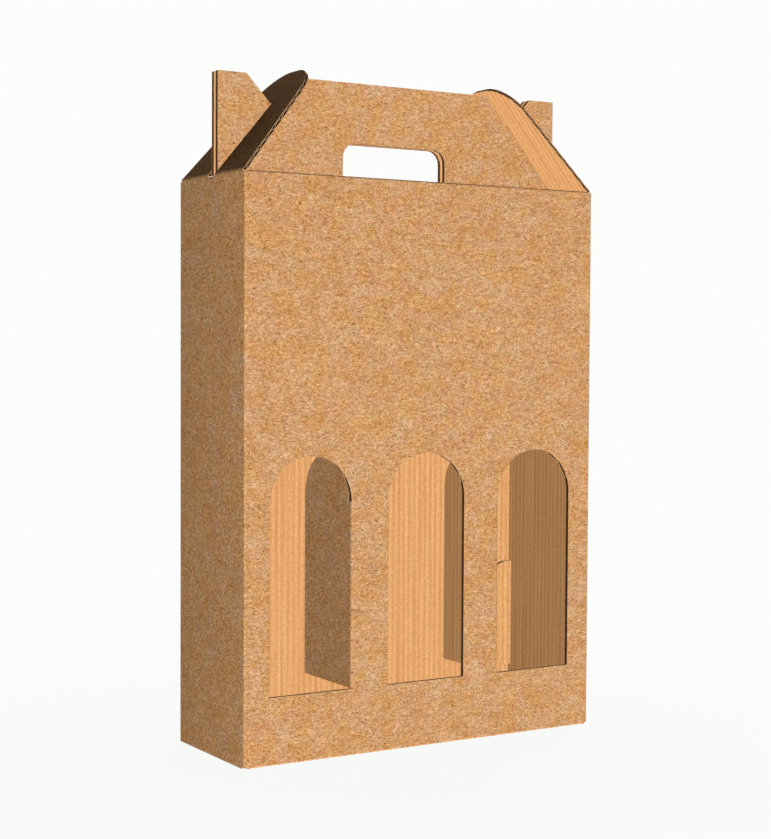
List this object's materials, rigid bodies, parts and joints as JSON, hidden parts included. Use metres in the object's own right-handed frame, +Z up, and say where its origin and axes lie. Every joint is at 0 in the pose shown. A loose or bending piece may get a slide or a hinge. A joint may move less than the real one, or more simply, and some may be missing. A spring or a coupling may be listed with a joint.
{
  "type": "wine bottle carrier box",
  "caption": "Tall corrugated board carrier with arched windows, inward window flaps between bottles, slotted end flaps and a folded double-board handle.",
  "frame": {"origin": "middle of the box on the floor that it stands on", "axes": "+Z up, the windowed front towards -Y, +X to the right across the front"},
  "size_m": [0.252, 0.088, 0.415],
  "materials": {
    "kraft_board": "matte uncoated kraft liner"
  },
  "bodies": {
    "carrier": {"carrier_body": "kraft_board"},
    "left_end": {"left_end_flap": "kraft_board"},
    "right_end": {"right_end_flap": "kraft_board"},
    "left_pane": {"left_window_flap": "kraft_board"},
    "right_pane": {"right_window_flap": "kraft_board"}
  },
  "joints": [
    {"name": "left_end_crease", "type": "hinge", "parent": "carrier", "child": "left_end", "pos_m": [-0.1246, 0, 0.349], "axis": [0, -1, 0], "range_deg": [0, 135]},
    {"name": "right_end_crease", "type": "hinge", "parent": "carrier", "child": "right_end", "pos_m": [0.1246, 0, 0.349], "axis": [0, 1, 0], "range_deg": [0, 135]},
    {"name": "left_window_crease", "type": "hinge", "parent": "carrier", "child": "left_pane", "pos_m": [-0.0524, -0.0426, 0], "axis": [0, 0, 1], "range_deg": [-10, 90]},
    {"name": "right_window_crease", "type": "hinge", "parent": "carrier", "child": "right_pane", "pos_m": [0.0524, -0.0426, 0], "axis": [0, 0, -1], "range_deg": [-10, 90]}
  ]
}
